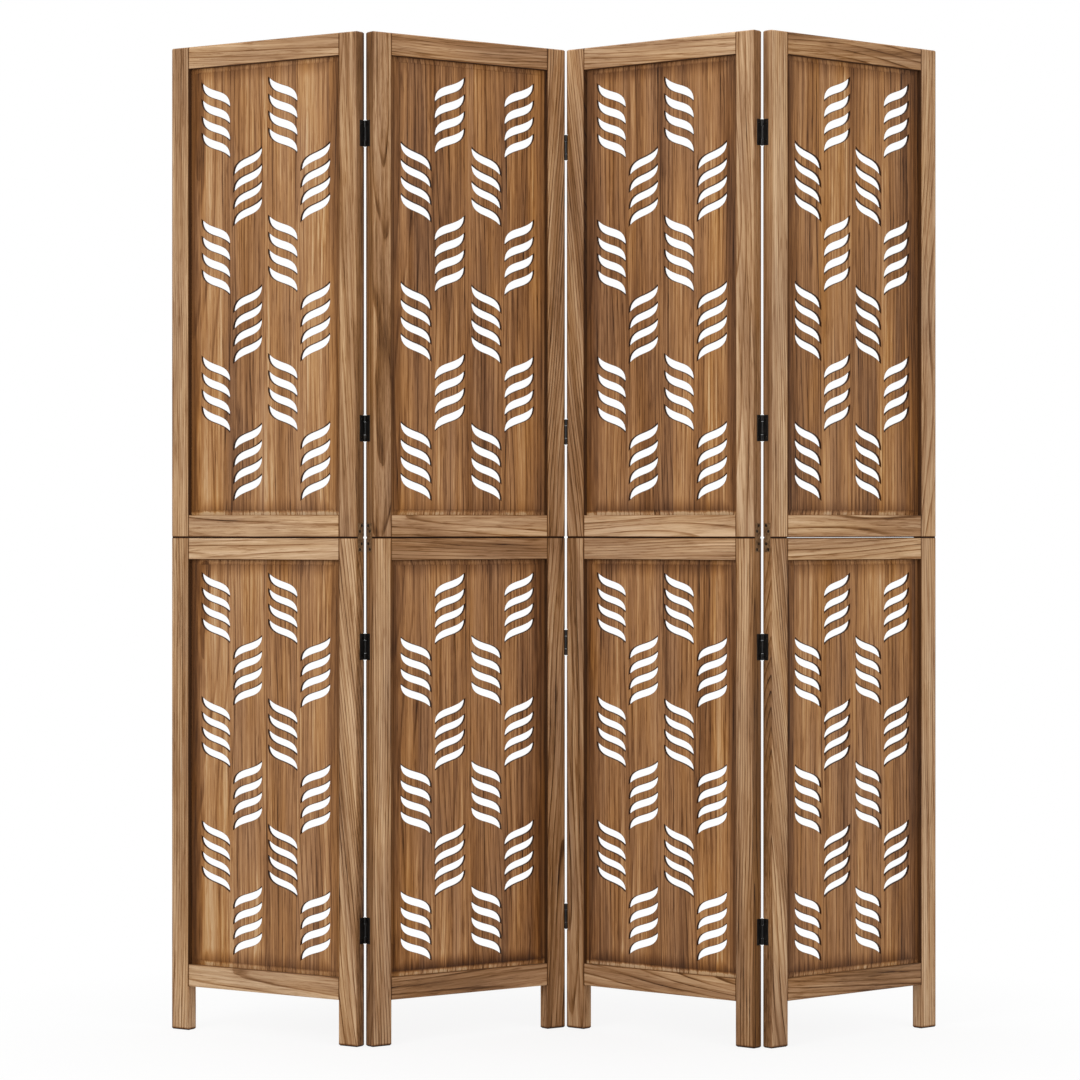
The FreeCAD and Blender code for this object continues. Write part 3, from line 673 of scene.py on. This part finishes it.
# Tone of each frame piece, from 0 dark to 1 light, the strength of its growth
# lines, its cut, and its place along the log.
FRAME_LOOKS = {
    (1, "upper"): ((0.665, 0.26, "quarter", 1), (0.57, 0.18, "slash", 2),
                   (0.72, 0.42, "flat", 3), (0.715, 0.32, "slash_turned", 4)),
    (1, "lower"): ((0.665, 0.42, "quarter_turned", 5), (0.59, 0.50, "slanted", 6),
                   (0.755, 0.42, "flat_turned", 7), (0.79, 0.40, "slash", 8)),
    (2, "upper"): ((0.53, 0.34, "flat", 9), (0.475, 0.46, "slanted_turned", 10),
                   (0.605, 0.38, "flat_turned", 11), (0.56, 0.26, "quarter", 12)),
    (2, "lower"): ((0.625, 0.42, "quarter", 13), (0.5, 0.36, "slash_turned", 14),
                   (0.555, 0.34, "slash", 15), (0.535, 0.30, "quarter_turned", 16)),
    (3, "upper"): ((0.57, 0.46, "slanted", 17), (0.705, 0.32, "slash", 18),
                   (0.85, 0.42, "slash", 19), (0.685, 0.34, "slash_turned", 20)),
    (3, "lower"): ((0.555, 0.44, "slash", 21), (0.515, 0.48, "quarter_turned", 22),
                   (0.565, 0.44, "slash_turned", 23), (0.735, 0.38, "quarter", 24)),
    (4, "upper"): ((0.735, 0.38, "quarter", 25), (0.635, 0.32, "slash_turned", 26),
                   (0.665, 0.44, "flat_turned", 27), (0.47, 0.36, "slash", 28)),
    (4, "lower"): ((0.57, 0.48, "slanted", 29), (0.7, 0.42, "quarter", 30),
                   (0.525, 0.36, "slash_turned", 31), (0.705, 0.42, "slash", 32)),
}
FRAME_PIECES = ("left_stile", "right_stile", "bottom_rail", "top_rail")
# Tone of each board, how strong the painted highlight on the bevel at its foot
# is, and how dark the flame marks and the painted shadow of the frame are at the
# left, the right, the head and the foot.
BOARD_LOOKS = {
    (1, "upper"): (0.64, 0.5, 0.72, 0.42, 0.34, 0.36),
    (1, "lower"): (0.635, 0.05, 0.85, 0.44, 0.42, 0.5),
    (2, "upper"): (0.495, 0.35, 0.52, 0.22, 0.14, 0.24),
    (2, "lower"): (0.54, 0.4, 0.64, 0.85, 0.4, 0.9),
    (3, "upper"): (0.575, 0.9, 0.66, 0.42, 0.46, 0.5),
    (3, "lower"): (0.59, 0.95, 0.64, 0.5, 0.5, 0.7),
    (4, "upper"): (0.52, 0.35, 0.62, 0.55, 0.35, 0.35),
    (4, "lower"): (0.545, 0.3, 0.44, 0.75, 0.38, 0.65),
}


def barrel_side(number, edge):
    """Where the barrels of an edge's hinges lie: -1 in front, 1 behind, 0 for none."""
    if (number, edge) in ((1, "left"), (4, "right")):
        return 0
    return -1 if (number, edge) in ((2, "right"), (3, "left")) else 1


def close_fit(node, number, half):
    """A stile with finely eased long edges, or a rail closed on the other half's.

    The solid's chamfers are moved out towards their edges, so that the gaps
    between the panels are as narrow as they look on the real screen. At the
    knuckles of the hinges they stay as wide as in the solid.
    """
    low, high = (0.0, SEAM_HEIGHT) if half == "lower" else (SEAM_HEIGHT, SEAM_HEIGHT + UPPER_FRAME_HEIGHT)
    to_panel = panel_matrix(number).inverted()
    bm = bmesh.new()
    bm.from_mesh(frame["nodes"][node].data)
    bmesh.ops.remove_doubles(bm, verts=bm.verts, dist=WELD_DISTANCE * MM)
    is_rail = node.endswith("rail")
    is_left = "left" in node
    side = 0 if is_rail else barrel_side(number, "left" if is_left else "right")
    hinges = [height for height in HINGE_HEIGHTS if side and low < height < high]
    for height in hinges:
        for rise in (-KNUCKLE_ROOM - CHAMFER_RUN, -KNUCKLE_ROOM, KNUCKLE_ROOM, KNUCKLE_ROOM + CHAMFER_RUN):
            bmesh.ops.bisect_plane(
                bm, geom=bm.verts[:] + bm.edges[:] + bm.faces[:],
                plane_co=(0, 0, (height + rise) * MM), plane_no=(0, 0, 1))
    for vertex in bm.verts:
        across, depth, height = (to_panel @ vertex.co) / MM
        if is_rail:
            if abs(height - SEAM_HEIGHT) < 2 * RAIL_SETBACK:
                stand_off = RAIL_STAND_OFFS[number]
                height = SEAM_HEIGHT + (stand_off if half == "upper" else -stand_off)
        else:
            from_edge = across if is_left else PANEL_WIDTH - across
            from_face = min(depth, FRAME_THICKNESS - depth)
            by_barrel = (depth - FRAME_THICKNESS / 2) * side > 0
            at_knuckles = by_barrel and any(abs(height - hinge) < KNUCKLE_ROOM + 0.1 for hinge in hinges)
            if from_edge + from_face < A_LITTLE_MORE * END_EASING and not at_knuckles:
                kept = LONG_EASING / END_EASING
                moved = (1 - kept) * from_edge
                across += -moved if is_left else moved
                depth += (kept - 1) * from_face * (1 if depth < FRAME_THICKNESS / 2 else -1)
                moved = (1 - kept) * min(from_edge, from_face)
                if height < low + A_LITTLE_LESS * END_EASING:
                    height += moved
                elif height > high - A_LITTLE_LESS * END_EASING:
                    height -= moved
        place = panel_matrix(number) @ (Vector((across, depth, height)) * MM)
        # The outermost edges of the screen stay in the solids' box.
        vertex.co = [min(max(value, least), most) for value, least, most in zip(place, *CAD_BOX)]
    piece = new_object("close_" + node, finish_mesh(bm, "close_" + node))
    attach(piece, f"panel_{number}")
    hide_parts(node)
    return piece


def dress_frames():
    """Stiles and rails with wood of their own."""
    for (number, half), looks in FRAME_LOOKS.items():
        for piece, look in zip(FRAME_PIECES, looks):
            node = f"panel_{number}_{half}_{piece}"
            wood = frame_wood("wood_" + node, number, node, look)
            at_joint = piece == ("top_rail" if half == "lower" else "bottom_rail")
            if piece.endswith("stile") or at_joint:
                seen = close_fit(node, number, half)
                seen.data.materials.append(wood)
            else:
                seen = dress(node, wood)
            soften_edges(seen, WOOD_ROUNDNESS)


def slot_outline(half_height, lean):
    """Corner points of one slot; lean -1 mirrors it."""
    flank = []
    for curve in FLANK:
        knots = [Vector((across * SLOT_HALF_WIDTH * lean, up * half_height)) for across, up in curve]
        flank += interpolate_bezier(*knots, FLANK_STEPS)[:-1]
    return flank + [-point for point in flank]


def grown(outline, distance):
    """The outline moved outwards by a distance."""
    count = len(outline)
    turning = sum(outline[i - 1].x * outline[i].y - outline[i].x * outline[i - 1].y for i in range(count))
    outward = 1 if turning > 0 else -1
    points = []
    for i in range(count):
        before = (outline[i] - outline[i - 1]).normalized()
        after = (outline[(i + 1) % count] - outline[i]).normalized()
        along = (before + after).normalized()
        points.append(outline[i] + Vector((along.y, -along.x)) * distance * outward)
    return points


def slot_places(opening_height, mirrored):
    """Middle and lean of each of a board's slots."""
    group_pitch = GROUP_PITCH_SHARE * opening_height
    slot_pitch = SLOT_PITCH_SHARE * opening_height
    places = []
    for column, across in enumerate(COLUMNS):
        odd = column % 2 == 1
        groups = HIGH_GROUPS if odd == mirrored else LOW_GROUPS
        lean = -1 if odd else 1
        for group in groups:
            for step in SLOTS_IN_GROUP:
                places.append((Vector((across, group * group_pitch + step * slot_pitch)), lean))
    return places


def new_bmesh():
    """An empty mesh whose points carry a burnt share."""
    bm = bmesh.new()
    bm.verts.layers.float.new("burn")
    return bm


def add_loop(bm, points, depth, burn=0.0):
    """A closed loop of vertices at one depth, with its burnt share."""
    layer = bm.verts.layers.float["burn"]
    loop = []
    for point in points:
        vertex = bm.verts.new((point[0] * MM, depth * MM, point[1] * MM))
        vertex[layer] = burn
        loop.append(vertex)
    return loop


def bridge(bm, first, second):
    """Faces between two loops of the same count."""
    count = len(first)
    for i in range(count):
        follower = (i + 1) % count
        bm.faces.new((first[i], first[follower], second[follower], second[i]))


def fill(bm, loops):
    """Triangles between an outer loop and the loops of its holes."""
    edges = []
    for loop in loops:
        for i in range(len(loop)):
            pair = (loop[i - 1], loop[i])
            edges.append(bm.edges.get(pair) or bm.edges.new(pair))
    bmesh.ops.triangle_fill(bm, use_beauty=True, edges=edges, normal=(0, -1, 0))


def rectangle(width, height, inset):
    """Corners of a rectangle, moved inwards by the inset."""
    x, z = width / 2 - inset, height / 2 - inset
    return ((-x, -z), (x, -z), (x, z), (-x, z))


def board_mesh(name, opening_height, mirrored):
    """Raised board with its smooth slots, its bevel and the tongue in the groove."""
    bm = new_bmesh()
    half_height = SLOT_HALF_HEIGHT_SHARE * opening_height
    front_rings = []
    back_rings = []
    for middle, lean in slot_places(opening_height, mirrored):
        outline = slot_outline(half_height, lean)
        rim = [middle + point for point in outline]
        ring = [middle + point for point in grown(outline, BURN_WIDTH)]
        front_rim = add_loop(bm, rim, 0.0, 1.0)
        back_rim = add_loop(bm, rim, BOARD_THICKNESS, 1.0)
        front_ring = add_loop(bm, ring, 0.0)
        back_ring = add_loop(bm, ring, BOARD_THICKNESS)
        bridge(bm, front_ring, front_rim)
        bridge(bm, front_rim, back_rim)
        bridge(bm, back_rim, back_ring)
        front_rings.append(front_ring)
        back_rings.append(back_ring)
    size = (OPENING_WIDTH, opening_height)
    relief = FIELD_STEP + BEVEL_DROP
    field = add_loop(bm, rectangle(*size, BEVEL_WIDTH), 0.0)
    step = add_loop(bm, rectangle(*size, BEVEL_WIDTH), FIELD_STEP)
    foot = add_loop(bm, rectangle(*size, 0.0), relief)
    tongue = add_loop(bm, rectangle(*size, -TONGUE_REACH), relief)
    back = add_loop(bm, rectangle(*size, -TONGUE_REACH), BOARD_THICKNESS)
    for first, second in ((field, step), (step, foot), (foot, tongue), (tongue, back)):
        bridge(bm, first, second)
    fill(bm, [field] + front_rings)
    fill(bm, [back] + back_rings)
    return finish_mesh(bm, name)


def finish_mesh(bm, name):
    """The mesh with its faces turned outwards, smooth but for its sharp edges."""
    bmesh.ops.recalc_face_normals(bm, faces=bm.faces)
    mesh = bpy.data.meshes.new(name)
    bm.to_mesh(mesh)
    bm.free()
    mesh.shade_smooth()
    mesh.set_sharp_from_angle(angle=math.radians(SHARP_ANGLE))
    return mesh


def circle(middle, radius):
    """Points of a circle."""
    across, up = middle
    angles = [2 * math.pi * i / CIRCLE_POINTS for i in range(CIRCLE_POINTS)]
    return [(across + radius * math.cos(angle), up + radius * math.sin(angle)) for angle in angles]


def cross(middle, reach, half_width, turn):
    """The twelve corners of a cross recess."""
    across, up = middle
    corners = []
    for quarter in range(4):
        angle = turn + quarter * math.pi / 2
        ahead = Vector((math.cos(angle), math.sin(angle)))
        side = Vector((-ahead.y, ahead.x))
        corners += [ahead * reach - side * half_width, ahead * reach + side * half_width,
                    (ahead + side) * half_width]
    return [(across + corner.x, up + corner.y) for corner in corners]


def add_screw(bm, middle, turn):
    """A flush countersunk head with a cross recess, its face towards -Y."""
    rim = add_loop(bm, circle(middle, SCREW_RADIUS), 0.0)
    edge = add_loop(bm, circle(middle, SCREW_RADIUS - SCREW_CHAMFER), -SCREW_DOME)
    recess = cross(middle, RECESS_REACH, RECESS_HALF_WIDTH, turn)
    lip = add_loop(bm, recess, -SCREW_DOME)
    bottom = add_loop(bm, recess, -RECESS_FLOOR)
    bridge(bm, rim, edge)
    bridge(bm, lip, bottom)
    fill(bm, [edge, lip])
    fill(bm, [bottom])


def screw_places(number, edge):
    """Depth in the panel, height and turn of each screw on one edge.

    The turns only have to differ, as those of driven screws do.
    """
    places = []
    for index, rise in enumerate(PLATE_SCREW_RISES):
        stagger = PLATE_SCREW_STAGGER if index % 2 else -PLATE_SCREW_STAGGER
        places.append((FRAME_THICKNESS / 2 + stagger, SEAM_HEIGHT + rise, number + 1.3 * index))
    side = barrel_side(number, edge)
    if side == 0:
        return places
    depth = HINGE_SCREW_DEPTH if side < 0 else FRAME_THICKNESS - HINGE_SCREW_DEPTH
    for height in HINGE_HEIGHTS:
        places.append((depth, height - HINGE_SCREW_RISE, 0.4 + height))
        places.append((depth, height + HINGE_SCREW_RISE, 1.1 + height))
    return places


def make_screws():
    """One mesh of screws for each upright edge of each panel."""
    steel = blackened_steel()
    for number in PANELS:
        for edge, outwards in (("left", -1), ("right", 1)):
            name = f"screws_{number}_{edge}"
            bm = new_bmesh()
            for depth, height, turn in screw_places(number, edge):
                add_screw(bm, (outwards * depth, height), turn)
            screws = new_object(name, finish_mesh(bm, name))
            across = (PANEL_WIDTH if edge == "right" else 0.0) + outwards * METAL_PROUD
            place = Matrix.Translation(Vector((across * MM, 0, 0)))
            turned = Matrix.Rotation(outwards * math.pi / 2, 4, "Z")
            screws.matrix_world = panel_matrix(number) @ place @ turned
            screws.data.materials.append(steel)
            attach(screws, f"panel_{number}")


def make_boards():
    """The slotted boards, each with wood of its own."""
    for (number, half), look in BOARD_LOOKS.items():
        upper = half == "upper"
        opening_height = UPPER_OPENING if upper else LOWER_OPENING
        middle = UPPER_MIDDLE if upper else LOWER_MIDDLE
        name = f"slotted_board_{number}_{half}"
        board = new_object(name, board_mesh(name, opening_height, PANELS[number][3]))
        place = Vector((PANEL_WIDTH / 2 * MM, FIELD_DEPTH * MM, middle * MM))
        board.matrix_world = panel_matrix(number) @ Matrix.Translation(place)
        seed = number * 3.7 + (1.3 if upper else 0.0)
        board.data.materials.append(board_wood("wood_" + name, opening_height, look, seed))
        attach(board, f"panel_{number}")
        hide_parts(f"panel_{number}_{half}_board")


def dress_metal():
    """Enamelled hinge leaves and brass joining plates."""
    enamel = black_enamel()
    brass = antique_brass()
    for node in frame["nodes"]:
        if node.endswith("_leaves"):
            soften_edges(dress(node, enamel), METAL_ROUNDNESS)
        elif node.endswith("_joining_plates"):
            dress(node, brass)


def add_seen(tree):
    """1 for rays from the camera, in mirroring metal and through clear surfaces, else 0."""
    add(tree, "ShaderNodeLightPath")
    path = tree.nodes[-1].outputs
    seen = add(tree, "ShaderNodeMath", {0: path["Is Camera Ray"], 1: path["Is Glossy Ray"]},
               operation="MAXIMUM")
    return add(tree, "ShaderNodeMath", {0: seen, 1: path["Is Transmission Ray"]}, operation="MAXIMUM")


# Floor, in metres: how far it goes, from where to where the shadow on it fades
# into white, and the share of white where the shadow is.
FLOOR_REACH = 9.0
SHADOW_REACH = (0.45, 1.2)
WHITE_IN_SHADOW = 0.84

# Strength of the white studio as the object sees it.
STUDIO_STRENGTH = 0.44

# Soft boxes: place and aim in metres, width and height in metres, watts.
SCREEN_MIDDLE = (0, 0, 0.85)
SOFT_BOXES = {
    "soft_box_left": ((-2.4, -3.4, 2.6), SCREEN_MIDDLE, (2.0, 2.4), 75),
    "soft_box_right": ((2.6, -3.2, 2.2), SCREEN_MIDDLE, (2.0, 2.4), 52),
    "soft_box_top": ((0, 0.2, 3.6), (0, 0, 0), (3.0, 1.6), 38),
}


def make_stage():
    """A pale floor that keeps the soft shadow, in a white studio."""
    mesh = bpy.data.meshes.new("studio_floor")
    near, far = -FLOOR_REACH, 3 * FLOOR_REACH
    corners = [(near, near, 0), (FLOOR_REACH, near, 0), (FLOOR_REACH, far, 0), (near, far, 0)]
    mesh.from_pydata(corners, [], [(0, 1, 2, 3)])
    new_object("studio_floor", mesh)
    material, tree = new_tree("matt_white_paper")
    lit = add(tree, "ShaderNodeBsdfDiffuse", {"Color": linear("#FAFAFA")})
    # Seen by the camera or in metal, the paper runs out to white.
    place = add(tree, "ShaderNodeTexCoord", output="Object")
    away = add(tree, "ShaderNodeVectorMath", {0: place}, output="Value", operation="LENGTH")
    lift = add(tree, "ShaderNodeMapRange", {
        "Value": away, "From Min": SHADOW_REACH[0], "From Max": SHADOW_REACH[1],
        "To Min": WHITE_IN_SHADOW, "To Max": 1.0})
    lift = add(tree, "ShaderNodeMath", {0: lift, 1: add_seen(tree)}, operation="MULTIPLY")
    glow = add(tree, "ShaderNodeEmission", {"Color": (1, 1, 1, 1), "Strength": 1.0})
    both = add(tree, "ShaderNodeMixShader", {0: lift, 1: lit, 2: glow})
    add(tree, "ShaderNodeOutputMaterial", {"Surface": both})
    mesh.materials.append(material)


def make_world():
    """A white studio, bright to the camera and softer on the object."""
    world = bpy.data.worlds.new("white_studio")
    bpy.context.scene.world = world
    world.use_nodes = True
    tree = world.node_tree
    tree.nodes.clear()
    strength = add(tree, "ShaderNodeMapRange", {
        "Value": add_seen(tree), "To Min": STUDIO_STRENGTH, "To Max": 1.0})
    light = add(tree, "ShaderNodeBackground", {"Color": (1, 1, 1, 1), "Strength": strength})
    add(tree, "ShaderNodeOutputWorld", {"Surface": light})


def make_lamps():
    """Large soft boxes, turned to what they light."""
    for name, (place, aim, size, power) in SOFT_BOXES.items():
        data = bpy.data.lights.new(name, "AREA")
        data.shape = "RECTANGLE"
        data.size, data.size_y = size
        data.energy = power
        lamp = new_object(name, data)
        lamp.location = place
        lamp.rotation_euler = (Vector(aim) - Vector(place)).to_track_quat("-Z", "Y").to_euler()


def make_camera():
    """A level camera in front of the screen, as the photograph was taken."""
    data = bpy.data.cameras.new("camera")
    data.sensor_width = SENSOR_WIDTH
    data.lens = FOCAL_PIXELS / IMAGE_PIXELS * SENSOR_WIDTH
    data.shift_y = (HORIZON_PIXELS - IMAGE_PIXELS / 2) / IMAGE_PIXELS
    data.clip_end = 100
    camera = new_object("camera", data)
    camera.location = [value * MM for value in CAMERA_PLACE]
    camera.rotation_euler = (math.radians(90), 0, 0)
    bpy.context.scene.camera = camera


bpy.context.scene.view_settings.view_transform = "Standard"
make_camera()
dress_frames()
make_boards()
dress_metal()
make_screws()
make_stage()
make_world()
make_lamps()
